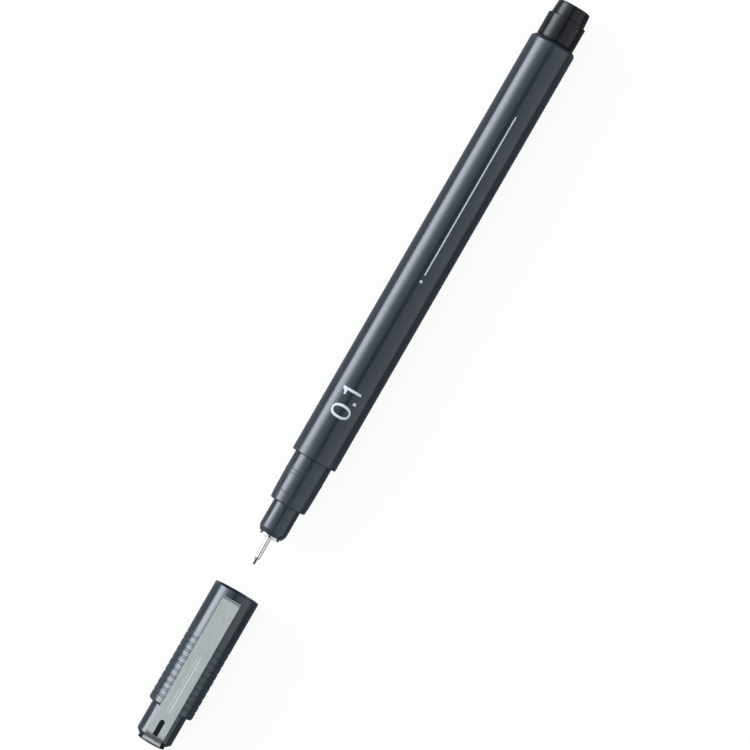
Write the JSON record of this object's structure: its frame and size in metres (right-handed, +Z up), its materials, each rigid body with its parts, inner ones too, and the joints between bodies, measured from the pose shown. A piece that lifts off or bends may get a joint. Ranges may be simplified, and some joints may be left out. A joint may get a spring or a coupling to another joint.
{
  "type": "technical pen",
  "caption": "Fibre-tip technical pen with a steel-clad needle nib, stepped grip, black tail plug and a pull-off cap with a steel pocket clip.",
  "frame": {"origin": "middle of the pen and its cap as they lie, at the level of the surface they rest on", "axes": "+X along the pen from nib to tail, +Z up, out of the pocket clip's face"},
  "size_m": [0.1668, 0.0096, 0.0103],
  "materials": {
    "slate_plastic": "moulded, satin gloss",
    "black_plastic": "moulded, satin gloss",
    "milk_plastic": "soft moulded",
    "clip_steel": "satin stainless",
    "nib_steel": "bright stainless",
    "nib_fibre": "inked fibre",
    "wick_fibre": "bonded fibre",
    "inked_fibre": "bonded fibre, inked",
    "film": "clear film"
  },
  "bodies": {
    "pen": {"barrel": "slate_plastic", "grip_section": "slate_plastic", "nib_holder": "slate_plastic", "nib_collar": "nib_steel", "needle_tube": "nib_steel", "fibre_nib": "nib_fibre", "relay_wick": "wick_fibre", "ink_reservoir": "inked_fibre", "reservoir_film": "film", "tail_plug": "black_plastic"},
    "cap": {"cap_shell": "slate_plastic", "inner_cap": "milk_plastic", "crown_button": "black_plastic"},
    "clip": {"pocket_clip": "clip_steel"}
  },
  "joints": [
    {"name": "cap_slide", "type": "slide", "parent": "pen", "child": "cap", "axis": [1, 0, 0], "range_m": [0, 0.0299]},
    {"name": "clip_flex", "type": "hinge", "parent": "cap", "child": "clip", "pos_m": [-0.0828, 0, 0.0089], "axis": [0, -1, 0], "range_deg": [0, 4], "stiffness_Nm_per_rad": 0.3}
  ]
}
